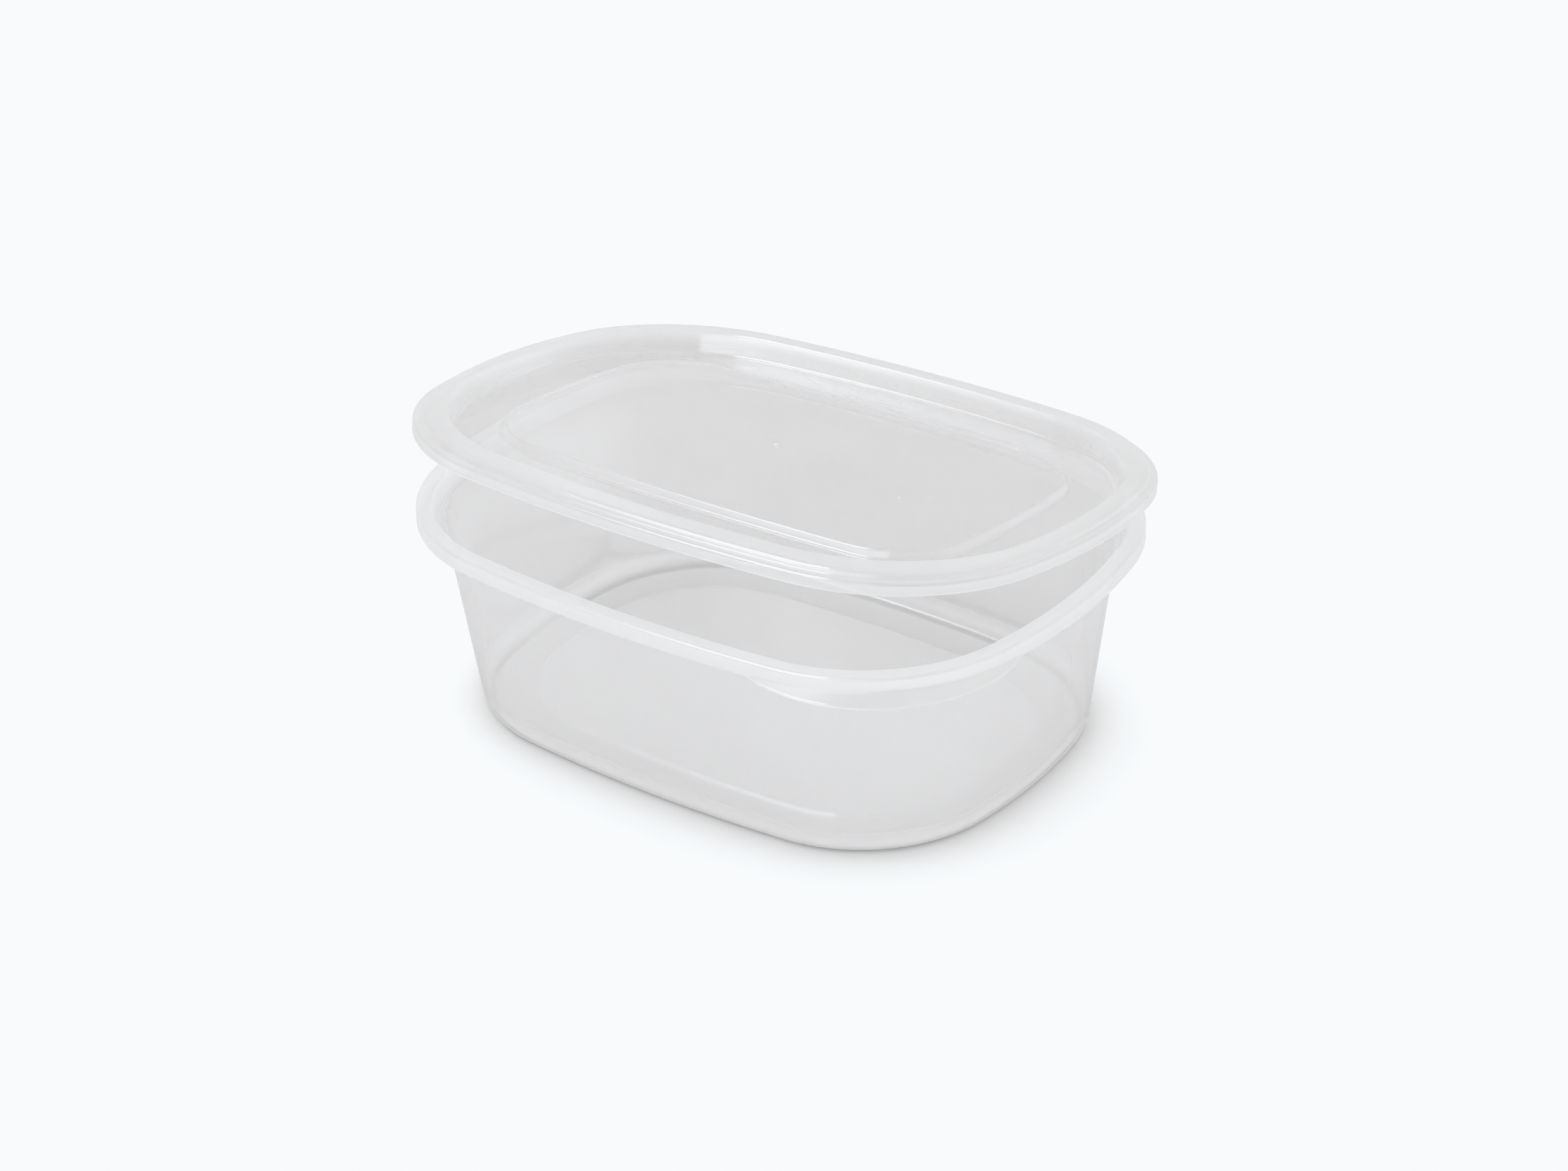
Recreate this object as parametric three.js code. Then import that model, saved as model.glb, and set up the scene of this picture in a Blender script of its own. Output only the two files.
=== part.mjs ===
// A takeaway meal container: a thin-walled tub and its separate lid, laid ajar across the back of the rim.
// Millimetres, +Z up. The tub stands on z = 0, its long sides run along X and its thumb tab is at +X, -Y.
// Lengths below are from the tub's own middle. The part's origin lies under the middle of tub and lid.
import * as THREE from "three";

// Plan of the tub's rim, seen from above: bowed sides joined by big corners.
const HALF_LENGTH = 87.5;
const HALF_WIDTH = 66.65;
const CORNER_RADIUS = 45.7;
const LONG_SIDE_RADIUS = 398;
const SHORT_SIDE_RADIUS = 143.6;

// Tub, heights from the floor it stands on.
const TUB_HEIGHT = 55.3;
const TUB_WALL = 0.8;
const SKIRT_DEPTH = 3.9;
const RIM_WIDTH = 4.2;
const SHOULDER_DROP = 4.4;
const SHOULDER_INSET = 6.6;
const BASE_INSET = 7.0;
const BASE_SHORTER = 5.1;
const BASE_NARROWER = 4.3;
const BASE_FILLET = 3.1;
const FLOOR_RAISE = 0.8;
const FLOOR_RING = { a: 62.6, b: 41.4, r: 33, rl: 380, rs: 130 };
const FLOOR_RING_SLOPE = 1.3;

// Thumb tab: a flared lip along the skirt's lower edge, round one corner.
const TAB_MIDDLE_DEG = -37;
const TAB_HALF_DEG = 21.8;
const TAB_OUT = 3.0;
const TAB_DOWN = 2.7;
const TAB_FULLNESS = 0.6;

// Lid, heights from the ledge on top of its skirt.
const LID_ALLOWANCE = 1.7;
const LID_WALL = 0.8;
const LID_SKIRT_DEPTH = 3.4;
const BEAD_HEIGHT = 1.35;
const BEAD_OUTER = 1.85;
const BEAD_INNER = 8.2;
const PLUG_ROUNDER = 6;
const PLUG_LONGER = 1.8;
const CHANNEL_INSET = 10.2;
const CHANNEL_DEPTH = 4.2;
const PANEL_RAISE = 1.9;
const PANEL = { a: 66.6, b: 41.9, r: 21.5, rl: 700, rs: 200 };
const PANEL_SLOPE = 0.8;
const LID_BOW = -0.9;
const LID_TWIST = 0.7;

// How the lid lies: its back edge on the back of the rim, its front edge up.
const LID_PLACE = [-3.16, 7.52, 69.2];
const LID_TILT = [-0.1389, 0.0049, 0.0318];

// From the part's origin to the tub's middle: the lid reaches past the tub at the back and the left.
const TUB_PLACE = [2.44, -4.27, 0];

// Steps along a quarter of each outline.
const LONG_STEPS = 5;
const CORNER_STEPS = 12;
const SHORT_STEPS = 4;

const RIM_PLAN = {
  a: HALF_LENGTH,
  b: HALF_WIDTH,
  r: CORNER_RADIUS,
  rl: LONG_SIDE_RADIUS,
  rs: SHORT_SIDE_RADIUS,
};

// The same plan moved inwards all round, with corners made rounder by an extra radius.
function inset(plan, distance, rounder = 0) {
  return {
    a: plan.a - distance,
    b: plan.b - distance,
    r: plan.r - distance + rounder,
    rl: plan.rl - distance,
    rs: plan.rs - distance,
  };
}

// A plan part of the way from one plan to another.
function between(from, to, share) {
  const mix = {};
  for (const key of Object.keys(from)) {
    mix[key] = from[key] + (to[key] - from[key]) * share;
  }
  return mix;
}

// Centre of the corner arc that is tangent to the long side's arc and the short side's arc.
function cornerCentre(plan) {
  const y1 = plan.b - plan.rl;
  const x2 = plan.a - plan.rs;
  const q1 = plan.rl - plan.r;
  const q2 = plan.rs - plan.r;
  const d = Math.hypot(x2, y1);
  const t = (q1 * q1 - q2 * q2 + d * d) / (2 * d);
  const h = Math.sqrt(q1 * q1 - t * t);
  const ux = x2 / d;
  const uy = -y1 / d;
  return [t * ux + h * uy, y1 + t * uy - h * ux].map(Math.abs);
}

function arc(cx, cy, radius, from, to, steps) {
  const points = [];
  for (let i = 0; i < steps; i += 1) {
    const angle = from + ((to - from) * i) / steps;
    points.push([cx + radius * Math.cos(angle), cy + radius * Math.sin(angle)]);
  }
  return points;
}

// One closed outline, anticlockwise seen from above, from the +X end.
function outline(plan) {
  const [cx, cy] = cornerCentre(plan);
  const toLong = Math.atan2(cy - plan.b + plan.rl, cx);
  const toShort = Math.atan2(cy, cx - plan.a + plan.rs);
  const quarter = [
    ...arc(plan.a - plan.rs, 0, plan.rs, 0, toShort, SHORT_STEPS),
    ...arc(cx, cy, plan.r, toShort, toLong, CORNER_STEPS),
    ...arc(0, plan.b - plan.rl, plan.rl, toLong, Math.PI / 2, LONG_STEPS),
  ];
  const top = [0, plan.b];
  const left = quarter.slice(1).reverse().map(([x, y]) => [-x, y]);
  const upper = [...quarter, top, ...left, [-plan.a, 0]];
  const lower = [...quarter.slice(1), top, ...left].map(([x, y]) => [-x, -y]);
  return [...upper, ...lower];
}

// Closed skin through the levels in turn, each a plan at a height, ended by a point in the middle of the
// first level and one in the middle of the last. Levels run from the underside round the edge to the top.
function skin(levels) {
  const loops = levels.map(({ plan, z, shape }) => {
    const flat = outline(plan);
    return flat.map(([x, y]) => (shape ? shape(x, y, z) : [x, y, z]));
  });
  const count = loops[0].length;
  const last = loops.length - 1;
  const points = loops.flat();
  points.push([0, 0, levels[0].z], [0, 0, levels[last].z]);
  const faces = [];
  const first = points.length - 2;
  for (let i = 0; i < count; i += 1) {
    const j = (i + 1) % count;
    faces.push(first, j, i);
    faces.push(first + 1, last * count + i, last * count + j);
    for (let k = 0; k < last; k += 1) {
      const low = k * count;
      const high = low + count;
      faces.push(low + i, low + j, high + j);
      faces.push(low + i, high + j, high + i);
    }
  }
  return { points, faces };
}

function geometryOf({ points, faces }, bend = (x, y, z) => [x, y, z]) {
  const geometry = new THREE.BufferGeometry();
  const flat = points.flatMap(([x, y, z]) => bend(x, y, z));
  geometry.setAttribute("position", new THREE.Float32BufferAttribute(flat, 3));
  geometry.setIndex(faces);
  geometry.computeVertexNormals();
  return geometry;
}

// How far the tab's lip stands out at a place on the rim, from 0 to 1.
function tabShare(x, y) {
  const angle = THREE.MathUtils.radToDeg(Math.atan2(y, x));
  const along = (angle - TAB_MIDDLE_DEG) / TAB_HALF_DEG;
  return Math.abs(along) < 1 ? (1 - along * along) ** TAB_FULLNESS : 0;
}

// Lip of the skirt, moved out and down along the tab.
function lip(x, y, z) {
  const share = tabShare(x, y);
  const out = 1 + (TAB_OUT * share) / Math.hypot(x, y);
  return [x * out, y * out, z - TAB_DOWN * share];
}

// Plan of the tub's wall at a height, before any wall thickness.
function wallPlan(z) {
  const top = TUB_HEIGHT - SHOULDER_DROP - 1;
  const share = Math.min(1, Math.max(0, (z - BASE_FILLET) / (top - BASE_FILLET)));
  const foot = inset(RIM_PLAN, BASE_INSET);
  foot.a -= BASE_SHORTER;
  foot.b -= BASE_NARROWER;
  return between(foot, inset(RIM_PLAN, SHOULDER_INSET), share);
}

// Levels of the rounded edge between the wall and the floor, from the floor up.
function filletLevels(depth) {
  const radius = BASE_FILLET - depth;
  return [0, 1, 2, 3].map((i) => {
    const turn = (Math.PI / 2) * (i / 3);
    const reach = depth + radius * (1 - Math.sin(turn));
    return {
      plan: inset(wallPlan(0), reach),
      z: depth + radius * (1 - Math.cos(turn)),
    };
  });
}

function tubUnderside() {
  const top = TUB_HEIGHT;
  const ringFoot = inset(FLOOR_RING, -FLOOR_RING_SLOPE);
  return [
    { plan: FLOOR_RING, z: FLOOR_RAISE },
    { plan: ringFoot, z: 0 },
    ...filletLevels(0),
    { plan: inset(RIM_PLAN, SHOULDER_INSET), z: top - SHOULDER_DROP - 1.1 },
    { plan: inset(RIM_PLAN, SHOULDER_INSET - 0.5), z: top - SHOULDER_DROP - 0.7 },
    { plan: inset(RIM_PLAN, RIM_WIDTH + 0.1), z: top - SHOULDER_DROP - 0.3 },
    { plan: inset(RIM_PLAN, RIM_WIDTH - 0.4), z: top - TUB_WALL },
  ];
}

function tubRim() {
  const top = TUB_HEIGHT;
  const fold = top - SKIRT_DEPTH + 0.6;
  return [
    { plan: inset(RIM_PLAN, TUB_WALL + 0.4), z: top - TUB_WALL },
    { plan: inset(RIM_PLAN, TUB_WALL), z: top - TUB_WALL - 0.5 },
    { plan: inset(RIM_PLAN, TUB_WALL), z: fold },
    { plan: inset(RIM_PLAN, TUB_WALL), z: top - SKIRT_DEPTH, shape: lip },
    { plan: RIM_PLAN, z: top - SKIRT_DEPTH, shape: lip },
    { plan: RIM_PLAN, z: fold },
    { plan: RIM_PLAN, z: top - 0.8 },
    { plan: inset(RIM_PLAN, 0.3), z: top - 0.25 },
    { plan: inset(RIM_PLAN, 0.9), z: top },
  ];
}

function tubInside() {
  const top = TUB_HEIGHT;
  const ringFoot = inset(FLOOR_RING, -FLOOR_RING_SLOPE);
  const fillet = filletLevels(TUB_WALL).reverse();
  return [
    { plan: inset(RIM_PLAN, RIM_WIDTH - 0.4), z: top },
    { plan: inset(RIM_PLAN, RIM_WIDTH), z: top - 0.3 },
    { plan: inset(RIM_PLAN, RIM_WIDTH + 0.7), z: top - SHOULDER_DROP + 0.2 },
    { plan: inset(RIM_PLAN, RIM_WIDTH + 1.0), z: top - SHOULDER_DROP },
    { plan: inset(RIM_PLAN, SHOULDER_INSET + TUB_WALL - 0.4), z: top - SHOULDER_DROP - 0.3 },
    { plan: inset(RIM_PLAN, SHOULDER_INSET + TUB_WALL), z: top - SHOULDER_DROP - 0.9 },
    ...fillet,
    { plan: ringFoot, z: TUB_WALL },
    { plan: FLOOR_RING, z: TUB_WALL + FLOOR_RAISE },
  ];
}

function tub() {
  const material = new THREE.MeshStandardMaterial({
    color: 0xdfe2e2,
    roughness: 0.32,
    metalness: 0,
  });
  const levels = [...tubUnderside(), ...tubRim(), ...tubInside()];
  const mesh = new THREE.Mesh(geometryOf(skin(levels)), material);
  mesh.name = "tub";
  return mesh;
}

// Plan of the lid's inner wall, rounder at the corners than its skirt and nearer to it at the ends.
function plugPlan(plan, distance, share = 1) {
  const moved = inset(plan, distance, PLUG_ROUNDER * share);
  return { ...moved, a: moved.a + PLUG_LONGER * share };
}

function lidUnderside(plan) {
  const deep = -CHANNEL_DEPTH - LID_WALL;
  return [
    { plan: inset(PANEL, LID_WALL / 2), z: deep + PANEL_RAISE },
    { plan: inset(PANEL, -PANEL_SLOPE + LID_WALL / 2), z: deep },
    { plan: plugPlan(plan, CHANNEL_INSET + 0.2), z: deep },
    { plan: plugPlan(plan, CHANNEL_INSET - LID_WALL), z: deep + 0.6 },
    { plan: plugPlan(plan, BEAD_INNER), z: 0 },
    { plan: plugPlan(plan, BEAD_INNER - 0.6, 0.8), z: BEAD_HEIGHT - LID_WALL - 0.1 },
    { plan: inset(plan, BEAD_OUTER + LID_WALL), z: BEAD_HEIGHT - LID_WALL - 0.1 },
    { plan: inset(plan, BEAD_OUTER + LID_WALL - 0.5), z: -LID_WALL },
    { plan: inset(plan, LID_WALL), z: -LID_WALL - 0.3 },
    { plan: inset(plan, LID_WALL), z: -LID_SKIRT_DEPTH },
  ];
}

function lidTop(plan) {
  return [
    { plan, z: -LID_SKIRT_DEPTH },
    { plan, z: -0.4 },
    { plan: inset(plan, 0.35), z: -0.05 },
    { plan: inset(plan, BEAD_OUTER - 0.5), z: 0.1 },
    { plan: inset(plan, BEAD_OUTER - 0.1), z: BEAD_HEIGHT * 0.5 },
    { plan: inset(plan, BEAD_OUTER + 0.7), z: BEAD_HEIGHT * 0.9 },
    { plan: inset(plan, BEAD_OUTER + 1.9), z: BEAD_HEIGHT },
    { plan: plugPlan(plan, BEAD_INNER - 0.4, 0.8), z: BEAD_HEIGHT },
    { plan: plugPlan(plan, BEAD_INNER + 0.5), z: BEAD_HEIGHT * 0.6 },
    { plan: plugPlan(plan, BEAD_INNER + 0.9), z: -0.3 },
    { plan: plugPlan(plan, CHANNEL_INSET - 0.1), z: -CHANNEL_DEPTH + 0.6 },
    { plan: plugPlan(plan, CHANNEL_INSET + 0.7), z: -CHANNEL_DEPTH },
    { plan: inset(PANEL, -PANEL_SLOPE), z: -CHANNEL_DEPTH },
    { plan: inset(PANEL, -PANEL_SLOPE * 0.4), z: -CHANNEL_DEPTH + PANEL_RAISE * 0.7 },
    { plan: PANEL, z: -CHANNEL_DEPTH + PANEL_RAISE },
  ];
}

function lid() {
  const material = new THREE.MeshStandardMaterial({
    color: 0xe2e4e4,
    roughness: 0.3,
    metalness: 0,
  });
  const plan = {
    ...RIM_PLAN,
    a: HALF_LENGTH + LID_ALLOWANCE,
    b: HALF_WIDTH + LID_ALLOWANCE,
    r: CORNER_RADIUS + LID_ALLOWANCE,
  };
  // A thin lid bows across its width and twists a little when only one side lies on the rim.
  const bend = (x, y, z) => {
    const u = x / plan.a;
    const w = y / plan.b;
    return [x, y, z + LID_BOW * w * w + LID_TWIST * u * w];
  };
  const levels = [...lidUnderside(plan), ...lidTop(plan)];
  const mesh = new THREE.Mesh(geometryOf(skin(levels), bend), material);
  mesh.name = "lid";
  mesh.position.set(...LID_PLACE);
  mesh.rotation.set(...LID_TILT, "ZYX");
  return mesh;
}

const container = new THREE.Group();
container.add(tub(), lid());
container.position.set(...TUB_PLACE);

const group = new THREE.Group();
group.name = "meal_container";
group.add(container);
export default group;
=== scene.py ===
# A takeaway meal container: a thin tub of natural polypropylene and its lid, which lies ajar on its rim.
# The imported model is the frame. Two finely curved shells of the same dimensions stand for its two solids.
# The container's own dimensions are in millimetres, from the tub's middle, and its meshes are in metres.
import math

import bpy
import numpy as np
from mathutils import Euler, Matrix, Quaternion, Vector


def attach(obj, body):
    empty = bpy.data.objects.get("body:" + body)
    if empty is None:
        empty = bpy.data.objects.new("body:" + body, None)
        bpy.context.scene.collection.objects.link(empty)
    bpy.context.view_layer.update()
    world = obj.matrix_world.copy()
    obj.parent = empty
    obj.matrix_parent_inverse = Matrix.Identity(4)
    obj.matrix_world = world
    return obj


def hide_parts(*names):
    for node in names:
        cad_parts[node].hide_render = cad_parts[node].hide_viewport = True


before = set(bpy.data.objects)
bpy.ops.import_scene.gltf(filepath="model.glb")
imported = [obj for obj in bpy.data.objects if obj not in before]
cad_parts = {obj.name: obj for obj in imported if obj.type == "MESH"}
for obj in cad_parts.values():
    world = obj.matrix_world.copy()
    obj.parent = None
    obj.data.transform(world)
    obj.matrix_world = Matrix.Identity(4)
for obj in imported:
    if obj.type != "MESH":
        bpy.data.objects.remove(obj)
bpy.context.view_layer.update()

MM = 0.001

# Plan of the tub's rim from above: bowed sides joined by big corners. A plan is half the length, half the
# width, the corners' radius, the long sides' radius and the short sides' radius.
RIM_PLAN = np.array([87.5, 66.65, 45.7, 398.0, 143.6])

# Tub, heights from the surface that it stands on.
TUB_HEIGHT = 55.3
WALL = 0.8
SKIRT_DEPTH = 3.9
RIM_WIDTH = 4.2
SHOULDER_DROP = 4.4
SHOULDER_INSET = 6.6
BASE_INSET = 7.0
BASE_SHORTER = 5.1
BASE_NARROWER = 4.3
BASE_FILLET = 3.1
FLOOR_RAISE = 0.8
FLOOR_RING = np.array([62.6, 41.4, 33.0, 380.0, 130.0])
FLOOR_RING_SLOPE = 1.0

# How milky the plastic is where it is thick, with 0 for a wall and 1 for a rim, and where it carries painted
# light:
# the floor, painted paler, the rounded foot, with a painted glow, which is clear again from its top up, the
# step round the lid's panel, painted as a shining line, the lower part of the lid's skirt and both skirts'
# lower edges, whose shine is painted as thin lines of this height.
FLOOR_MILK_AND_PAINTED_LIGHT = 0.9
FOOT_MILK_AND_PAINTED_GLOW = 1.4
FOOT_GLOW_TOP = 7.5
STEP_PAINTED_SHINE = 1.0
LID_SKIRT_MILK = 0.7
SKIRT_EDGE_PAINTED_SHINE = 1.8
SKIRT_LINE = 0.6

# Thumb tab: a flared lip along the skirt's lower edge, round one corner.
TAB_MIDDLE = math.radians(-37)
TAB_HALF = math.radians(21.8)
TAB_OUT = 3.0
TAB_DOWN = 2.7
TAB_FULLNESS = 0.6
TAB_FOLD = 0.6

# Lid, heights from the ledge on top of its skirt.
LID_ALLOWANCE = 1.7
LID_PLAN = RIM_PLAN + LID_ALLOWANCE * np.array([1, 1, 1, 0, 0])
LID_SKIRT_DEPTH = 3.4
BEAD_HEIGHT = 1.45
BEAD_OUTER = 1.9
BEAD_INNER = 8.4
PLUG_ROUNDER = 6
PLUG_LONGER = 1.8
CHANNEL_INSET = 10.2
CHANNEL_DEPTH = 4.2
PANEL_RAISE = 1.9
PANEL = np.array([66.6, 41.9, 21.5, 700.0, 200.0])
PANEL_SLOPE = 0.8
PANEL_TOP = PANEL_RAISE - CHANNEL_DEPTH
LID_BOW = -0.9
LID_TWIST = 0.7
LID_PLACE = np.array([-3.16, 7.52, 69.2])
LID_TILT = (-0.1389, 0.0049, 0.0318)

# From the part's origin, under the middle of tub and lid, to the tub's middle.
TUB_PLACE = np.array([2.44, -4.27, 0.0])

# Gate marks, where each moulding was filled: a shallow dish with a nub in it, and its place in the plan.
GATE_DISH = 1.9
GATE_DEPTH = 0.12
GATE_NUB = 0.55
GATE_NUB_HEIGHT = 0.22
GATE_PLACE = (-2.3, 0.4)

# Pale specks as places and radii: the lid's gate mark and scuffs, and one on the tub's front.
LID_SPECKS = [
    ((*GATE_PLACE, PANEL_TOP), 1.3),
    ((39.5, -9.0, PANEL_TOP), 0.45),
    ((45.0, -5.0, PANEL_TOP), 0.45),
    ((61.0, 59.0, BEAD_HEIGHT), 0.8),
]
TUB_SPECKS = [((-12.0, -58.5, 22.0), 0.5)]

# Steps along a quarter of each outline: the short side's half, the corner and the long side's half.
SHORT_STEPS = 12
CORNER_STEPS = 28
LONG_STEPS = 14
# Steps round a rounded corner of the section, and the longest step along a straight. A straight longer than
# the first length below has a row that close to each end, so that its shading stays flat.
ROUNDING_STEPS = 7
LONGEST_STEP = 4.0
LONG_STRAIGHT = 1.2
END_ROW = 0.25
SHORTEST_STEP = 0.02
NOTHING = 1e-5
# Rings across a flat middle, how fast they close in on its centre, and how late they turn round.
MIDDLE_STEPS = 36
MIDDLE_POWER = 1.8
MIDDLE_ROUNDING = 6
# Levels over which the tab turns out, and the power by which its lip's share grows.
TAB_STEPS = 7
TAB_POWER = 1.25

# Camera, as it stood for the photograph, in millimetres in the part's frame.
CAMERA_EYE = (450.97, -592.46, 445.48)
CAMERA_TARGET = (1.81, -1.62, 31.16)
CAMERA_ROLL = math.radians(-1.796)
CAMERA_LENS = 78.72
CAMERA_SENSOR = 36.0

# Side of the square floor, in metres.
FLOOR_SIZE = 12.0


def inset(plan, distance, rounder=0.0):
    """The plan moved inwards all round by a distance, with corners made rounder by an extra radius."""
    return plan - distance + np.array([0, 0, rounder, 0, 0])


def level(plan, height, rounding=0.0, lip=0.0, milk_and_painted_light=0.0):
    """One corner of a section: its plan, its height, how far back its rounding starts, its share of the
    tab's lip and how milky its plastic is, painted light included."""
    return [*plan, height, lip, milk_and_painted_light, rounding]


def rounded(corners):
    """Rows of plan, height, lip and milk along a section whose corners are rounded.

    At each corner a quadratic curve runs from a point on one straight to a point on the next, its middle
    control at the corner. It starts a rounding's length from the corner, or half a straight at most.
    """
    table = np.array(corners, float)
    rows, cuts = table[:, :-1], table[:, -1]
    steps = np.diff(rows, axis=0)
    lengths = np.hypot(steps[:, 0], steps[:, 5])
    lengths = np.maximum(np.maximum(lengths, np.abs(steps[:, 1])), NOTHING)
    before = np.minimum(cuts[1:-1], lengths[:-1] / 2) / lengths[:-1]
    after = np.minimum(cuts[1:-1], lengths[1:] / 2) / lengths[1:]
    start = rows[1:-1] - steps[:-1] * before[:, None]
    end = rows[1:-1] + steps[1:] * after[:, None]
    t = np.linspace(0, 1, ROUNDING_STEPS + 1)[None, :, None]
    curve = (1 - t) ** 2 * start[:, None] + 2 * t * (1 - t) * rows[1:-1, None] + t**2 * end[:, None]
    chain = np.vstack([rows[:1], curve.reshape(-1, rows.shape[1]), rows[-1:]])
    return with_long_straights_split(chain)


def with_long_straights_split(chain):
    """The same rows, with more put evenly into each straight, and one close to each end of it."""
    gaps = np.diff(chain, axis=0)
    size = np.hypot(gaps[:, 0], gaps[:, 5])
    keep = np.concatenate([[True], size > NOTHING])
    chain = chain[keep]
    gaps = np.diff(chain, axis=0)
    size = np.hypot(gaps[:, 0], gaps[:, 5])
    along = np.concatenate([[0], np.cumsum(size)])
    even = np.linspace(0, along[-1], int(along[-1] / LONGEST_STEP) + 1)
    long_ones = size > LONG_STRAIGHT
    starts, ends = along[:-1][long_ones], along[1:][long_ones]
    near_ends = np.concatenate([starts + END_ROW, ends - END_ROW])
    places = np.unique(np.concatenate([along, even, near_ends]))
    places = places[np.concatenate([[True], np.diff(places) > SHORTEST_STEP])]
    return np.stack([np.interp(places, along, column) for column in chain.T], axis=1)


def corner_centres(a, b, r, rl, rs):
    """Centre of each plan's corner arc, tangent inside to the circles of its long and its short side."""
    long_y = b - rl
    short_x = a - rs
    to_long = rl - r
    to_short = rs - r
    apart = np.hypot(short_x, long_y)
    t = (to_long**2 - to_short**2 + apart**2) / (2 * apart)
    h = np.sqrt(to_long**2 - t**2)
    ux = short_x / apart
    uy = -long_y / apart
    return np.abs(t * ux + h * uy), np.abs(long_y + t * uy - h * ux)


def outlines(plans):
    """Closed outlines of plans, anticlockwise from above, as an array of levels by points by x and y.

    A quarter is an arc of the short side, the corner's arc and an arc of the long side, in even turns. The
    other quarters are its mirror images.
    """
    a, b, r, rl, rs = (column[:, None] for column in plans.T)
    cx, cy = corner_centres(a, b, r, rl, rs)
    to_short = np.arctan2(cy, cx - a + rs)
    to_long = np.arctan2(cy - b + rl, cx)
    short = to_short * np.arange(SHORT_STEPS) / SHORT_STEPS
    corner = to_short + (to_long - to_short) * np.arange(CORNER_STEPS) / CORNER_STEPS
    long = to_long + (math.pi / 2 - to_long) * np.arange(LONG_STEPS) / LONG_STEPS
    x = np.hstack([a - rs + rs * np.cos(short), cx + r * np.cos(corner), rl * np.cos(long)])
    y = np.hstack([rs * np.sin(short), cy + r * np.sin(corner), b - rl + rl * np.sin(long)])
    end_x, end_y = np.zeros_like(b), b
    half_x = np.hstack([x, end_x, -x[:, :0:-1]])
    half_y = np.hstack([y, end_y, y[:, :0:-1]])
    whole_x = np.hstack([half_x, -a, -half_x[:, 1:]])
    whole_y = np.hstack([half_y, np.zeros_like(a), -half_y[:, 1:]])
    return np.stack([whole_x, whole_y], axis=2)


def loops_of(corners):
    """Loops of x, y, z through a rounded section, with each loop's share of the lip and its milk and painted
    light.
    """
    rows = rounded(corners)
    flat = outlines(rows[:, :5])
    heights = np.broadcast_to(rows[:, 5, None, None], (*flat.shape[:2], 1))
    return np.concatenate([flat, heights], axis=2), rows[:, 6], rows[:, 7]


def with_tab(loops, lip):
    """Loops whose lip is moved out and down along the tab, most at its middle and rounded off to its ends."""
    x, y, z = np.moveaxis(loops, 2, 0)
    along = np.clip((np.arctan2(y, x) - TAB_MIDDLE) / TAB_HALF, -1, 1)
    share = (1 - along**2) ** TAB_FULLNESS * lip[:, None]
    out = 1 + TAB_OUT * share / np.hypot(x, y)
    return np.stack([x * out, y * out, z - TAB_DOWN * share], axis=2)


def gate_profile(distance):
    """Height of a gate mark at a distance from its middle: a cosine's dish with a bell-shaped nub in it."""
    dish = -GATE_DEPTH * (1 + np.cos(np.pi * np.clip(distance / GATE_DISH, 0, 1))) / 2
    return dish + GATE_NUB_HEIGHT * np.exp(-((distance / GATE_NUB) ** 2))


def middle(loop, gate=0.0):
    """Loops from a flat loop in towards a point in its middle, round at last, and that point's height.

    Each is the loop drawn in by a share that falls like a power, mixed more and more with a circle. The gate
    mark stands up from them by its given factor.
    """
    flat, height = loop[:, :2], loop[0, 2]
    reach = np.hypot(*flat.T)[:, None]
    share = np.linspace(1, 0, MIDDLE_STEPS + 1)[1:-1, None, None] ** MIDDLE_POWER
    roundness = (1 - share) ** MIDDLE_ROUNDING
    circle = flat / reach * reach.min()
    inner = share * (flat * (1 - roundness) + circle * roundness)
    apart = inner - np.array(GATE_PLACE)
    distance = np.hypot(apart[..., 0], apart[..., 1])[..., None]
    heights = height + gate * gate_profile(distance)
    centre = height + gate * gate_profile(math.hypot(*GATE_PLACE))
    return np.concatenate([inner, heights], axis=2), centre


def shell(name, corners, gates, shape, place):
    """A closed shell through the loops of a section, with both of its flat middles filled to a point.

    The section runs from the underside's flat middle, out and round the edge, to the inside's flat middle.
    Its loops are shaped, each middle gets its gate mark by a factor, and the points are put in place.
    """
    loops, lip, milk_and_painted_light = loops_of(corners)
    loops = shape(loops, lip)
    below, low = middle(loops[0], gates[0])
    above, high = middle(loops[-1], gates[1])
    milk_and_painted_light = np.concatenate([np.full(len(below), milk_and_painted_light[0]), milk_and_painted_light, np.full(len(above), milk_and_painted_light[-1])])
    loops = np.concatenate([below[::-1], loops, above])
    levels, count = loops.shape[:2]
    ends = np.array([[0, 0, low], [0, 0, high]])
    points = place(np.vstack([loops.reshape(-1, 3), ends])) * MM
    grid = np.arange(levels * count).reshape(levels, count)
    after = np.roll(grid, -1, axis=1)
    quads = np.stack([grid[:-1], after[:-1], after[1:], grid[1:]], axis=2).reshape(-1, 4)
    first, last = levels * count, levels * count + 1
    start = np.stack([np.full(count, first), after[0], grid[0]], axis=1)
    finish = np.stack([np.full(count, last), grid[-1], after[-1]], axis=1)
    mesh = bpy.data.meshes.new(name)
    mesh.from_pydata(points, [], quads.tolist() + start.tolist() + finish.tolist())
    mesh.shade_smooth()
    # Each point's milk, with the painted shine, painted glow and paler floor in it.
    spread = np.concatenate([np.repeat(milk_and_painted_light, count), milk_and_painted_light[[0, -1]]])
    mesh.attributes.new("milk_and_painted_light", "FLOAT", "POINT").data.foreach_set("value", spread.astype(np.float32))
    piece = bpy.data.objects.new(name, mesh)
    bpy.context.scene.collection.objects.link(piece)
    return piece


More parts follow.
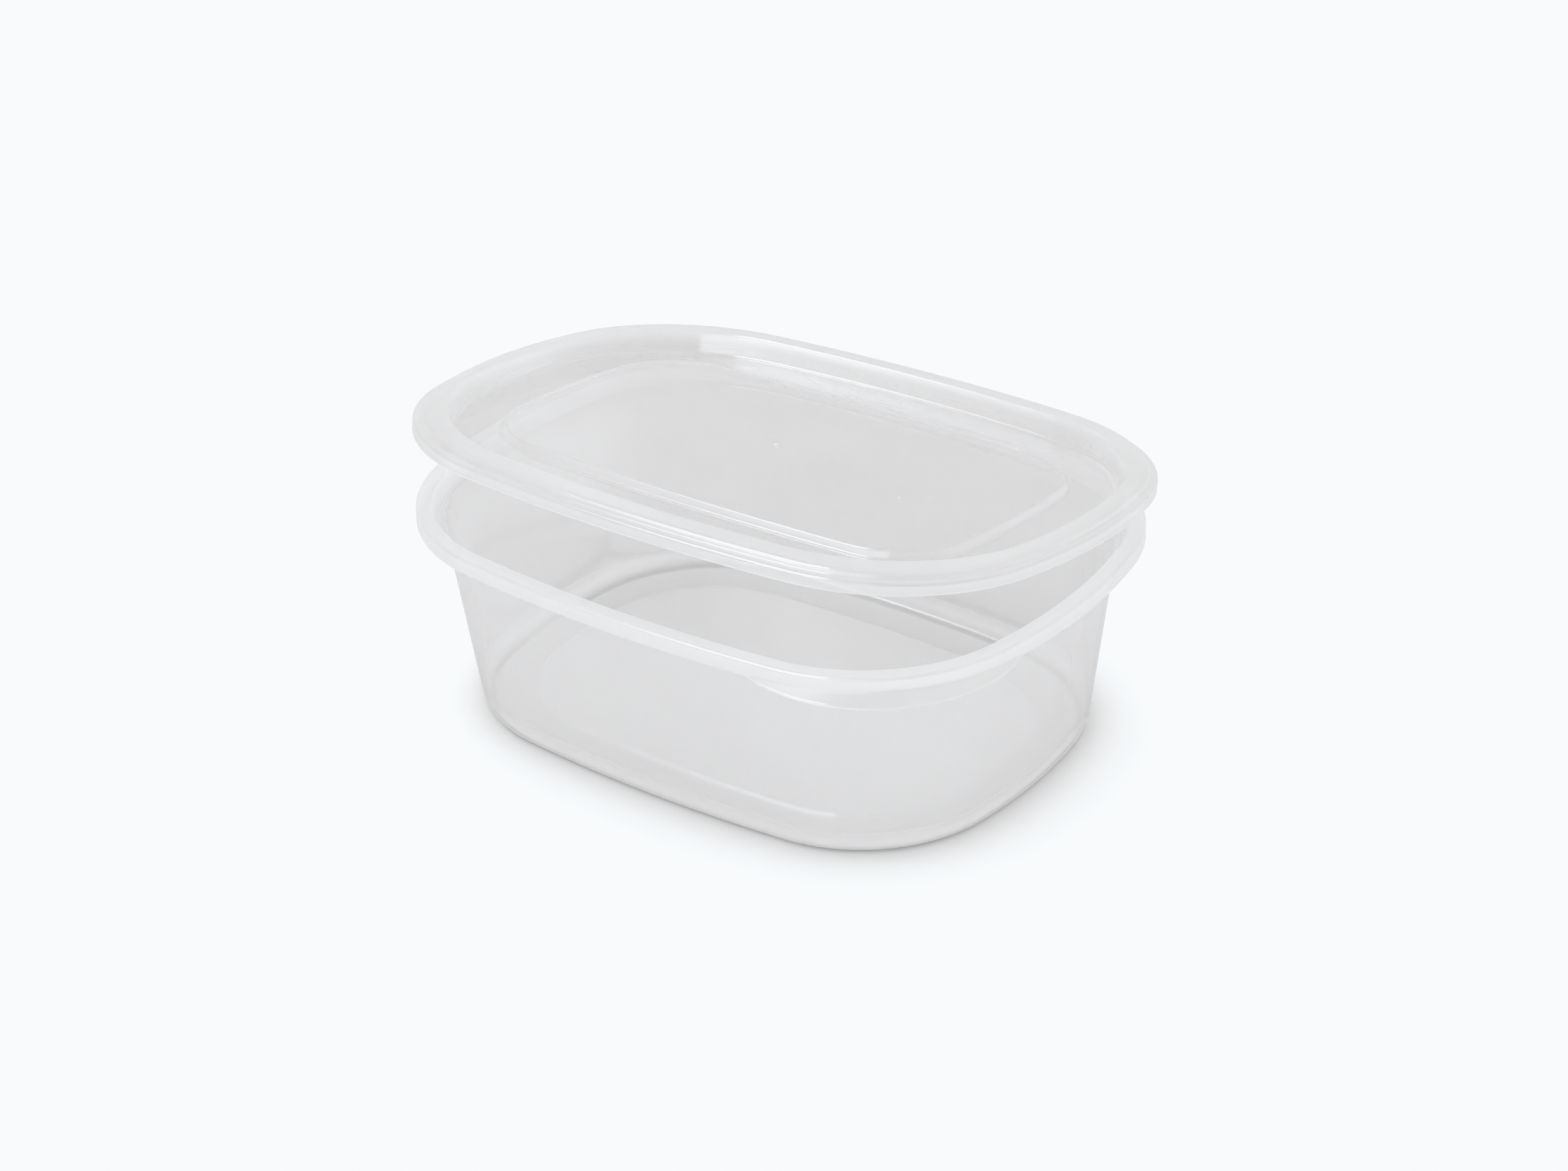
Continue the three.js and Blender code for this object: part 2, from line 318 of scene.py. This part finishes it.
def wall_plan(height):
    """Plan of the tub's outer wall at a height: in proportion between its foot and the shoulder."""
    foot = inset(RIM_PLAN, BASE_INSET) - np.array([BASE_SHORTER, BASE_NARROWER, 0, 0, 0])
    top = TUB_HEIGHT - SHOULDER_DROP - 1
    share = (height - BASE_FILLET) / (top - BASE_FILLET)
    return foot + (inset(RIM_PLAN, SHOULDER_INSET) - foot) * share


def tab_rows(plan, low, down):
    """Levels of the skirt's last stretch, where the tab turns out and its lip's share grows from 0 to 1."""
    shares = np.linspace(0, 1, TAB_STEPS) if down else np.linspace(1, 0, TAB_STEPS)
    return [level(plan, low + TAB_FOLD * (1 - share), 0.0, share**TAB_POWER, 1) for share in shares]


def tub_section():
    """Corners of the tub's section, from its underside's middle round the rim to its floor's middle."""
    top = TUB_HEIGHT
    low = top - SKIRT_DEPTH
    ledge = top - SHOULDER_DROP
    ring_foot = inset(FLOOR_RING, -FLOOR_RING_SLOPE)
    return [
        level(inset(FLOOR_RING, 2), FLOOR_RAISE, 0, 0, FLOOR_MILK_AND_PAINTED_LIGHT),
        level(FLOOR_RING, FLOOR_RAISE, 0.8, 0, FLOOR_MILK_AND_PAINTED_LIGHT),
        level(ring_foot, 0, 0.6, 0, FLOOR_MILK_AND_PAINTED_LIGHT),
        level(wall_plan(0), 0, BASE_FILLET, 0, FOOT_MILK_AND_PAINTED_GLOW),
        level(wall_plan(FOOT_GLOW_TOP), FOOT_GLOW_TOP),
        level(inset(RIM_PLAN, SHOULDER_INSET), ledge - 0.8, 0.6),
        level(inset(RIM_PLAN, RIM_WIDTH - 0.1), ledge - 0.6, 0.4, 0, 0.6),
        level(inset(RIM_PLAN, RIM_WIDTH - WALL + 0.2), top - WALL, 0.5, 0, 1),
        level(inset(RIM_PLAN, WALL), top - WALL, 0.6, 0, 1),
        *tab_rows(inset(RIM_PLAN, WALL), low, True),
        level(inset(RIM_PLAN, WALL), low, 0.32, 1, SKIRT_EDGE_PAINTED_SHINE),
        level(RIM_PLAN, low, 0.32, 1, SKIRT_EDGE_PAINTED_SHINE),
        *tab_rows(RIM_PLAN, low, False)[1:],
        level(RIM_PLAN, top, 0.9, 0, 1),
        level(inset(RIM_PLAN, RIM_WIDTH), top, 0.45, 0, 1),
        level(inset(RIM_PLAN, RIM_WIDTH + 0.8), ledge - 0.1, 0.4, 0, 0.6),
        level(inset(RIM_PLAN, SHOULDER_INSET + WALL), ledge - 0.3, 0.7),
        level(inset(wall_plan(FOOT_GLOW_TOP), WALL), FOOT_GLOW_TOP),
        level(inset(wall_plan(WALL), WALL), WALL, BASE_FILLET - WALL, 0, FOOT_MILK_AND_PAINTED_GLOW),
        level(ring_foot, WALL, 0.4, 0, FLOOR_MILK_AND_PAINTED_LIGHT),
        level(FLOOR_RING, WALL + FLOOR_RAISE, 0.5, 0, FLOOR_MILK_AND_PAINTED_LIGHT),
        level(inset(FLOOR_RING, 2), WALL + FLOOR_RAISE, 0, 0, FLOOR_MILK_AND_PAINTED_LIGHT),
    ]


def lid_section():
    """Corners of the lid's section, from its underside's middle round the skirt to its panel's middle."""
    deep = -CHANNEL_DEPTH
    longer = np.array([PLUG_LONGER, 0, 0, 0, 0])
    plug_top = inset(LID_PLAN, BEAD_INNER, PLUG_ROUNDER) + longer
    plug_foot = inset(LID_PLAN, CHANNEL_INSET, PLUG_ROUNDER) + longer
    return [
        level(inset(PANEL, 1.1), deep - WALL + PANEL_RAISE),
        level(inset(PANEL, WALL / 2), deep - WALL + PANEL_RAISE, 0.5, 0, STEP_PAINTED_SHINE),
        level(inset(PANEL, -PANEL_SLOPE + WALL / 2), deep - WALL, 0.5, 0, STEP_PAINTED_SHINE),
        level(inset(PANEL, -PANEL_SLOPE - 0.3), deep - WALL),
        level(inset(plug_foot, -WALL), deep - WALL, 0.9),
        level(inset(plug_top, -WALL), BEAD_HEIGHT - WALL, 0.9, 0, 1),
        level(inset(LID_PLAN, BEAD_OUTER + WALL + 0.2), BEAD_HEIGHT - WALL, 1.1, 0, 1),
        level(inset(LID_PLAN, BEAD_OUTER + WALL - 0.2), -WALL, 0.3, 0, 1),
        level(inset(LID_PLAN, WALL), -WALL - 0.2, 0.4, 0, 1),
        level(inset(LID_PLAN, WALL), SKIRT_LINE - LID_SKIRT_DEPTH, 0, 0, LID_SKIRT_MILK),
        level(inset(LID_PLAN, WALL), -LID_SKIRT_DEPTH, 0.32, 0, SKIRT_EDGE_PAINTED_SHINE),
        level(LID_PLAN, -LID_SKIRT_DEPTH, 0.32, 0, SKIRT_EDGE_PAINTED_SHINE),
        level(LID_PLAN, SKIRT_LINE - LID_SKIRT_DEPTH, 0, 0, LID_SKIRT_MILK),
        level(LID_PLAN, -0.35, 0.8, 0, 1),
        level(inset(LID_PLAN, BEAD_OUTER), -0.15, 0.4, 0, 1),
        level(inset(LID_PLAN, BEAD_OUTER + 0.6), BEAD_HEIGHT, 1.5, 0, 1),
        level(plug_top, BEAD_HEIGHT + 0.2, 1.0, 0, 1),
        level(plug_foot, deep, 0.9),
        level(inset(PANEL, -PANEL_SLOPE - 0.6), deep),
        level(inset(PANEL, -PANEL_SLOPE), deep, 0.5, 0, STEP_PAINTED_SHINE),
        level(PANEL, deep + PANEL_RAISE, 0.6, 0, STEP_PAINTED_SHINE),
        level(inset(PANEL, 0.7), deep + PANEL_RAISE),
    ]


def lid_lying(points):
    """Points of the lid as it lies: bowed by the square of y, twisted by x times y, tilted and moved."""
    across = points[:, 0] / LID_PLAN[0]
    back = points[:, 1] / LID_PLAN[1]
    bent = points + np.outer(LID_BOW * back**2 + LID_TWIST * across * back, [0, 0, 1])
    turn = np.array(Euler(LID_TILT, "XYZ").to_matrix())
    return bent @ turn.T + LID_PLACE + TUB_PLACE


def lid_spots(spots):
    """Spots, places and radii on the flat lid, as places on the lid as it lies and the same radii."""
    return [(tuple(lid_lying(np.array([place]))[0]), radius) for place, radius in spots]


def make_tub():
    """The tub's shell, with its thumb tab and a gate mark on its underside."""
    return shell("tub_shell", tub_section(), (-1.0, 0.0), with_tab, lambda points: points + TUB_PLACE)


def make_lid():
    """The lid's shell, with a gate mark on its panel, where it lies."""
    return shell("lid_shell", lid_section(), (0.0, 1.0), lambda loops, lip: loops, lid_lying)


def add_node(tree, kind, inputs=None, **settings):
    """A node of that kind with its settings, each named input given a value or joined to an output."""
    node = tree.nodes.new(kind)
    for name, value in settings.items():
        setattr(node, name, value)
    for name, value in (inputs or {}).items():
        if isinstance(value, bpy.types.NodeSocket):
            tree.links.new(value, node.inputs[name])
        else:
            node.inputs[name].default_value = value
    return node


def math_node(tree, operation, *values, clamp=False):
    """The output of a Math node on values or outputs."""
    inputs = dict(enumerate(values))
    return add_node(tree, "ShaderNodeMath", inputs, operation=operation, use_clamp=clamp).outputs[0]


def vector_node(tree, operation, *values):
    """The outputs of a Vector Math node on values or outputs."""
    return add_node(tree, "ShaderNodeVectorMath", dict(enumerate(values)), operation=operation).outputs


def mix_colours(tree, share, first, second):
    """The output of a Mix node that goes from one colour to another."""
    inputs = {"Factor": share, 6: first, 7: second}
    return add_node(tree, "ShaderNodeMix", inputs, data_type="RGBA").outputs[2]


def mix_values(tree, share, first, second):
    """The output of a Mix node that goes from one value to another."""
    return add_node(tree, "ShaderNodeMix", {"Factor": share, 2: first, 3: second}).outputs[0]


def ramp(tree, value, start, end, shape="SMOOTHSTEP"):
    """The output of a Map Range node: 0 at the start and before it, 1 at the end and after it."""
    inputs = {"Value": value, "From Min": start, "From Max": end}
    return add_node(tree, "ShaderNodeMapRange", inputs, interpolation_type=shape).outputs["Result"]


def noise(tree, place, scale, detail):
    """The value of a Noise Texture at a place."""
    inputs = {"Vector": place, "Scale": scale, "Detail": detail}
    return add_node(tree, "ShaderNodeTexNoise", inputs).outputs["Fac"]


def new_group(name, inputs, outputs):
    """A shader node group with named inputs, each a socket type and a value, and named outputs."""
    group = bpy.data.node_groups.new(name, "ShaderNodeTree")
    for label, (kind, value) in inputs.items():
        socket = group.interface.new_socket(label, in_out="INPUT", socket_type=kind)
        if value is not None:
            socket.default_value = value
    for label, kind in outputs.items():
        group.interface.new_socket(label, in_out="OUTPUT", socket_type=kind)
    return group, group.nodes.new("NodeGroupInput").outputs, group.nodes.new("NodeGroupOutput").inputs


def new_tree(owner):
    """The emptied node tree of a new material or world."""
    owner.use_nodes = True
    owner.node_tree.nodes.clear()
    return owner.node_tree


def milky_haze():
    """Group: how milky the plastic is from place to place, in soft clouds and in streaks along its flow."""
    group, given, made = new_group(
        "milky haze",
        {"Vector": ("NodeSocketVector", None), "Cloud Size": ("NodeSocketFloat", CLOUD_SCALE)},
        {"Haze": "NodeSocketFloat"},
    )
    clouds = noise(group, given["Vector"], given["Cloud Size"], 1.0)
    stretch = {"Vector": given["Vector"], "Scale": STREAK_SCALE}
    along = add_node(group, "ShaderNodeMapping", stretch).outputs[0]
    streaks = noise(group, along, 1.0, 1.0)
    uneven = math_node(group, "MULTIPLY_ADD", streaks, STREAK_SHARE, -STREAK_SHARE / 2)
    group.links.new(math_node(group, "ADD", clouds, uneven), made["Haze"])
    return group


def moulded_skin():
    """Group: relief and gloss of a moulded face, from soft ripples and a polished mould's fine grain."""
    group, given, made = new_group(
        "moulded skin",
        {"Vector": ("NodeSocketVector", None), "Gloss": ("NodeSocketFloat", GLOSS_ROUGHNESS)},
        {"Height": "NodeSocketFloat", "Roughness": "NodeSocketFloat"},
    )
    ripples = noise(group, given["Vector"], RIPPLE_SCALE, 1.0)
    grain = noise(group, given["Vector"], GRAIN_SCALE, 0.0)
    group.links.new(math_node(group, "MULTIPLY_ADD", grain, GRAIN_SHARE, ripples), made["Height"])
    rough = math_node(group, "MULTIPLY_ADD", ripples, RIPPLE_ROUGHNESS, given["Gloss"])
    group.links.new(rough, made["Roughness"])
    return group


def speck():
    """Group: a small round mark, 1 at its place and 0 beyond its radius, with a rim that fades out."""
    group, given, made = new_group(
        "speck",
        {
            "Vector": ("NodeSocketVector", None),
            "Place": ("NodeSocketVector", None),
            "Radius": ("NodeSocketFloat", 0.001),
        },
        {"Mark": "NodeSocketFloat"},
    )
    apart = vector_node(group, "DISTANCE", given["Vector"], given["Place"])["Value"]
    share = math_node(group, "DIVIDE", apart, given["Radius"])
    group.links.new(ramp(group, share, 1.0, 0.5), made["Mark"])
    return group


# Haze: scales per metre of its clouds and of its streaks, and how much the streaks count.
CLOUD_SCALE = 30.0
STREAK_SCALE = (14.0, 60.0, 60.0)
STREAK_SHARE = 0.35

# Skin: scales per metre of its ripples and its grain, the grain's share, and the roughness that they bring.
RIPPLE_SCALE = 110.0
GRAIN_SCALE = 1400.0
GRAIN_SHARE = 0.12
GLOSS_ROUGHNESS = 0.08
RIPPLE_ROUGHNESS = 0.06
RELIEF = {"Strength": 0.16, "Distance": 0.00004}

HAZE = milky_haze()
SKIN = moulded_skin()
SPECK = speck()

# Natural polypropylene: each face of a wall covers about this share of what lies behind it, with a little
# more in the haze. It covers more in the thick rims, and where it is seen edge-on.
OPACITY = 0.27
HAZE_OPACITY = 0.06
RIM_OPACITY = 0.45
EDGE_OPACITY = 0.75
# Seen edge-on it is also this much darker, by this power of how far it is turned away.
EDGE_SHADE = 0.28
EDGE_POWER = 4.0
# What each face covers for the light itself: little, but much more at the rounded foot, which is thick.
LIGHT_OPACITY = 0.08
FOOT_OPACITY = 0.92
# Heights, in metres, between which the foot thickens from nothing to all.
FOOT_TOP = 0.012
FOOT_FULL = 0.005
# Painted shade: for the light, the foot's colour goes this far to the shade's tint where it is thick, which
# darkens the contact shadow on the floor round it.
FOOT_PAINTED_SHADE = 0.72
# Dark tint that the foot's painted shade and the darker edges go towards.
SHADE_TINT = (0.2, 0.2, 0.205, 1)
# A face counts as an outer one more and more between these two cosines of its turn away from straight out.
OUTER_FROM = 0.02
OUTER_TO = 0.2
# Scuffs and the lid's gate mark: whiter and denser spots.
SPECK_TINT = (0.92, 0.925, 0.93, 1)
SPECK_OPACITY = 0.7
# Share of the scattered light that comes through from behind, and the roughness of what is sent back.
TRANSLUCENCE = 0.75
BODY_ROUGHNESS = 0.6
# Share of light that its faces mirror straight on, and at a grazing angle, and how late it grows.
MIRROR = 0.10
GRAZING_MIRROR = 0.25
MIRROR_POWER = 5.0

# Tints of clear plastic, of its deeper haze and of the thick rims and foot, the last also the tint of the
# painted shine and glow.
TUB_TINTS = (0.73, 0.735, 0.745, 1), (0.67, 0.675, 0.69, 1), (0.845, 0.85, 0.86, 1)
LID_TINTS = (0.725, 0.73, 0.74, 1), (0.665, 0.67, 0.685, 1), (0.78, 0.785, 0.795, 1)


def speck_mask(tree, place, specks):
    """1 on each of the specks, which are places and radii in millimetres, and 0 elsewhere."""
    marked = 0.0
    for centre, radius in specks:
        inputs = {"Vector": place, "Place": Vector(centre) * MM, "Radius": radius * MM}
        mark = add_node(tree, "ShaderNodeGroup", inputs, node_tree=SPECK).outputs["Mark"]
        marked = math_node(tree, "MAXIMUM", marked, mark)
    return marked


def thick_foot(tree, place):
    """1 low on the foot's outer faces, where a ray enters them from outside, and 0 elsewhere."""
    geometry = add_node(tree, "ShaderNodeNewGeometry").outputs
    height = add_node(tree, "ShaderNodeSeparateXYZ", {0: place}).outputs["Z"]
    flat = vector_node(tree, "MULTIPLY", place, (1, 1, 0))[0]
    away = vector_node(tree, "NORMALIZE", flat)[0]
    outward = vector_node(tree, "DOT_PRODUCT", away, geometry["Normal"])["Value"]
    foot = ramp(tree, height, FOOT_TOP, FOOT_FULL, "LINEAR")
    outside = ramp(tree, outward, OUTER_FROM, OUTER_TO, "LINEAR")
    entered = math_node(tree, "SUBTRACT", outside, geometry["Backfacing"], clamp=True)
    return math_node(tree, "MULTIPLY", foot, entered)


def polypropylene(name, tint, deep_tint, rim_and_shine_tint, specks):
    """Milky clear plastic: part of the light goes through, part is scattered, and its face is glossy.

    The camera sees it denser and a little darker edge-on. To the light it is nearly clear but for its foot,
    whose colour is painted dark for the light, a painted contact shadow on the floor.
    """
    material = bpy.data.materials.new(name)
    tree = new_tree(material)
    place = add_node(tree, "ShaderNodeTexCoord").outputs["Object"]
    haze = add_node(tree, "ShaderNodeGroup", {"Vector": place}, node_tree=HAZE).outputs["Haze"]
    skin = add_node(tree, "ShaderNodeGroup", {"Vector": place}, node_tree=SKIN).outputs
    # Milk, which also carries painted light: shine lines on the skirts' edges and the panel's step, a glow in
    # the foot, a paler floor.
    milk_and_painted_light = add_node(tree, "ShaderNodeAttribute", attribute_name="milk_and_painted_light").outputs["Fac"]
    facing = add_node(tree, "ShaderNodeLayerWeight", {"Blend": 0.5}).outputs["Facing"]
    seen = add_node(tree, "ShaderNodeLightPath").outputs["Is Camera Ray"]
    edge = math_node(tree, "POWER", facing, EDGE_POWER)
    marked = speck_mask(tree, place, specks)
    thick = thick_foot(tree, place)

    colour = mix_colours(tree, haze, tint, deep_tint)
    # Towards the rim's tint with the milk, which also paints the shine lines, the foot's glow and the paler
    # floor.
    colour = mix_colours(tree, milk_and_painted_light, colour, rim_and_shine_tint)
    colour = mix_colours(tree, marked, colour, SPECK_TINT)
    # Painted shade: for the light the thick foot is darkened, which deepens the floor's contact shadow.
    foot_painted_shade = math_node(tree, "MULTIPLY", thick, FOOT_PAINTED_SHADE)
    edge_shade = math_node(tree, "MULTIPLY", edge, EDGE_SHADE)
    colour = mix_colours(tree, mix_values(tree, seen, foot_painted_shade, edge_shade), colour, SHADE_TINT)

    relief = add_node(tree, "ShaderNodeBump", {"Height": skin["Height"], **RELIEF}).outputs[0]
    scattered = add_node(
        tree,
        "ShaderNodeBsdfPrincipled",
        {"Base Color": colour, "Roughness": BODY_ROUGHNESS, "Specular IOR Level": 0.0, "Normal": relief},
    ).outputs[0]
    through = add_node(tree, "ShaderNodeBsdfTranslucent", {"Color": colour}).outputs[0]
    body = add_node(tree, "ShaderNodeMixShader", {0: TRANSLUCENCE, 1: scattered, 2: through}).outputs[0]

    cloudy = math_node(tree, "MULTIPLY_ADD", haze, HAZE_OPACITY, OPACITY - HAZE_OPACITY / 2)
    cloudy = math_node(tree, "MULTIPLY_ADD", milk_and_painted_light, RIM_OPACITY - OPACITY, cloudy)
    cloudy = math_node(tree, "MULTIPLY_ADD", edge, EDGE_OPACITY - OPACITY, cloudy)
    spotted = math_node(tree, "MULTIPLY", marked, SPECK_OPACITY)
    cloudy = math_node(tree, "MAXIMUM", cloudy, spotted, clamp=True)
    to_light = math_node(tree, "MULTIPLY_ADD", thick, FOOT_OPACITY, LIGHT_OPACITY)
    opacity = mix_values(tree, seen, to_light, cloudy)
    clear = add_node(tree, "ShaderNodeBsdfTransparent").outputs[0]
    sheet = add_node(tree, "ShaderNodeMixShader", {0: opacity, 1: clear, 2: body}).outputs[0]

    gloss = add_node(
        tree,
        "ShaderNodeBsdfGlossy",
        {"Color": (1, 1, 1, 1), "Roughness": skin["Roughness"], "Normal": relief},
    ).outputs[0]
    grazing = math_node(tree, "POWER", facing, MIRROR_POWER)
    mirror = math_node(tree, "MULTIPLY_ADD", grazing, GRAZING_MIRROR - MIRROR, MIRROR)
    surface = add_node(tree, "ShaderNodeMixShader", {0: mirror, 1: sheet, 2: gloss}).outputs[0]
    add_node(tree, "ShaderNodeOutputMaterial", {"Surface": surface})
    return material


# Studio light, all of it from the world, so that the floor is evenly lit. Radiances are relative.
DOME = 1.06
# The dome is this much brighter than its mean where it is brightest.
DOME_SLOPE = 0.36
DOME_BRIGHTEST = (-0.75, 0.1, 0.65)
# What the gloss mirrors of the room: brightest at the back and the left.
ROOM = 0.66
ROOM_SLOPE = (-0.15, 0.35)
# Softbox at the upper left, bounded in tangents across and up from its axis. It is sharp at its right, and
# fades in from its left, its top and its foot between each pair.
KEY_RADIANCE = 4.2
KEY_FACING = (-0.45, -0.45, 0.77)
KEY_EDGE_ACROSS = (0.924, 0.343, 0.170)
KEY_RIGHT = 0.489
KEY_LEFT = (-0.22, 0.1)
KEY_TOP = (0.34, 0.26)
KEY_BOTTOM = (-0.32, -0.2)
KEY_SHARP = 0.01
# Dimmer panel low in front, in degrees of azimuth and elevation: sharp at its right, fading to its left.
FRONT_RADIANCE = 0.95
FRONT_AZIMUTH = (-150.0, -85.0, -56.0, -54.0)
FRONT_ELEVATION = (8.0, 18.0, 40.0, 50.0)
# Narrow bright gap behind the container.
GAP_AZIMUTH = (126.2, 126.6, 128.0, 129.0)
GAP_ELEVATION = (11.0, 15.0, 29.0, 33.0)
GAP_RADIANCE = 0.3
# The floor, and the greyer floor that shows through the plastic.
FLOOR_COLOUR = (0.90, 0.91, 0.915, 1)
FLOOR_SEEN_THROUGH = (0.54, 0.545, 0.55, 1)
# Values above the knee roll off to the white point, which they reach at the shoulder.
WHITE_POINT = (0.9387, 0.9560, 0.9647)
KNEE = 0.84
SHOULDER = 0.96


def key_axes():
    """The softbox's axis, and the directions across and up from it."""
    facing = Vector(KEY_FACING).normalized()
    across = Vector(KEY_EDGE_ACROSS)
    across = (across - across.dot(facing) * facing).normalized()
    return facing, across, facing.cross(across)


def add_world():
    """A white dome that lights everything, and the room that only the gloss mirrors, with its three lights.

    The lights are the softbox at the upper left, the dim panel in front and the narrow gap behind.
    """
    world = bpy.data.worlds.new("studio")
    bpy.context.scene.world = world
    tree = new_tree(world)
    toward = add_node(tree, "ShaderNodeTexCoord").outputs["Generated"]

    def dot(axis):
        """The share of the ray's direction along an axis."""
        return vector_node(tree, "DOT_PRODUCT", toward, axis)["Value"]

    def product(*values):
        """All the values multiplied."""
        made = values[0]
        for value in values[1:]:
            made = math_node(tree, "MULTIPLY", made, value)
        return made

    facing, across, upward = key_axes()
    depth = math_node(tree, "MAXIMUM", dot(facing), 0.001)
    u = math_node(tree, "DIVIDE", dot(across), depth)
    v = math_node(tree, "DIVIDE", dot(upward), depth)
    box = product(
        ramp(tree, u, KEY_RIGHT, KEY_RIGHT - KEY_SHARP),
        ramp(tree, u, *KEY_LEFT),
        ramp(tree, v, *KEY_TOP),
        ramp(tree, v, *KEY_BOTTOM),
    )
    x, y, z = add_node(tree, "ShaderNodeSeparateXYZ", {0: toward}).outputs
    azimuth = math_node(tree, "ARCTAN2", y, x)

    def patch(azimuths, elevations):
        """1 between the middle two azimuths and elevations, and 0 outside the outer two."""
        turns = [math.radians(angle) for angle in azimuths]
        heights = [math.sin(math.radians(angle)) for angle in elevations]
        return product(
            ramp(tree, azimuth, turns[0], turns[1]),
            ramp(tree, azimuth, turns[3], turns[2]),
            ramp(tree, z, heights[0], heights[1]),
            ramp(tree, z, heights[3], heights[2]),
        )

    room = math_node(tree, "MULTIPLY_ADD", x, ROOM * ROOM_SLOPE[0], ROOM)
    room = math_node(tree, "MULTIPLY_ADD", y, ROOM * ROOM_SLOPE[1], room)
    mirrored = math_node(tree, "MULTIPLY_ADD", box, KEY_RADIANCE, room)
    front = patch(FRONT_AZIMUTH, FRONT_ELEVATION)
    mirrored = math_node(tree, "MULTIPLY_ADD", front, FRONT_RADIANCE, mirrored)
    gap = patch(GAP_AZIMUTH, GAP_ELEVATION)
    mirrored = math_node(tree, "MULTIPLY_ADD", gap, GAP_RADIANCE, mirrored)
    brightest = dot(Vector(DOME_BRIGHTEST).normalized())
    even = math_node(tree, "MULTIPLY_ADD", brightest, DOME * DOME_SLOPE, DOME)
    glossy = add_node(tree, "ShaderNodeLightPath").outputs["Is Glossy Ray"]
    light = mix_values(tree, glossy, even, mirrored)
    background = add_node(tree, "ShaderNodeBackground", {"Color": (1, 1, 1, 1), "Strength": light})
    add_node(tree, "ShaderNodeOutputWorld", {"Surface": background.outputs[0]})


def add_floor():
    """A plain pale square floor, which the camera sees greyer through the plastic."""
    half = FLOOR_SIZE / 2
    corners = [(-half, -half, 0), (half, -half, 0), (half, half, 0), (-half, half, 0)]
    mesh = bpy.data.meshes.new("floor")
    mesh.from_pydata(corners, [], [(0, 1, 2, 3)])
    floor = bpy.data.objects.new("floor", mesh)
    bpy.context.scene.collection.objects.link(floor)
    material = bpy.data.materials.new("pale floor")
    tree = new_tree(material)
    path = add_node(tree, "ShaderNodeLightPath").outputs
    behind = math_node(tree, "MINIMUM", path["Transparent Depth"], 1.0)
    behind = math_node(tree, "MULTIPLY", behind, path["Is Camera Ray"])
    colour = mix_colours(tree, behind, FLOOR_COLOUR, FLOOR_SEEN_THROUGH)
    matt = add_node(tree, "ShaderNodeBsdfDiffuse", {"Color": colour})
    add_node(tree, "ShaderNodeOutputMaterial", {"Surface": matt.outputs[0]})
    mesh.materials.append(material)


def add_camera():
    """The camera where the photograph was taken from, turned to its target and rolled a little."""
    eye = Vector(CAMERA_EYE) * MM
    target = Vector(CAMERA_TARGET) * MM
    lens = bpy.data.cameras.new("camera")
    lens.lens = CAMERA_LENS
    lens.sensor_width = CAMERA_SENSOR
    camera = bpy.data.objects.new("camera", lens)
    bpy.context.scene.collection.objects.link(camera)
    camera.location = eye
    camera.rotation_mode = "QUATERNION"
    roll = Quaternion((0, 0, 1), CAMERA_ROLL)
    camera.rotation_quaternion = (target - eye).to_track_quat("-Z", "Y") @ roll
    bpy.context.scene.camera = camera


def set_exposure():
    """Plain view with a white point: values above the knee roll off to the background's paper white."""
    view = bpy.context.scene.view_settings
    view.view_transform = "Standard"
    view.use_curve_mapping = True
    curves = view.curve_mapping
    for curve, white in zip(curves.curves, WHITE_POINT):
        curve.points[0].location = (0, 0)
        curve.points[1].location = (1, white)
        knee = curve.points.new(KNEE, KNEE)
        flat = curve.points.new(SHOULDER, white)
        for point in (curve.points[0], curve.points[-1], knee, flat):
            point.handle_type = "VECTOR"
    curves.update()


def set_light_paths():
    """Enough bounces for light to pass all the faces of both shells in a row."""
    cycles = bpy.context.scene.cycles
    cycles.transparent_max_bounces = 16
    cycles.max_bounces = 5
    cycles.diffuse_bounces = 2
    cycles.glossy_bounces = 2


add_camera()
add_world()
add_floor()
set_exposure()
set_light_paths()

TUB_PLASTIC = polypropylene("tub polypropylene", *TUB_TINTS, TUB_SPECKS)
LID_PLASTIC = polypropylene("lid polypropylene", *LID_TINTS, lid_spots(LID_SPECKS))

for piece, node, slot, material in [
    (make_tub(), "tub", "tub_plastic", TUB_PLASTIC),
    (make_lid(), "lid", "lid_plastic", LID_PLASTIC),
]:
    piece.data.materials.append(material)
    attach(piece, "root")
    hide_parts(node)
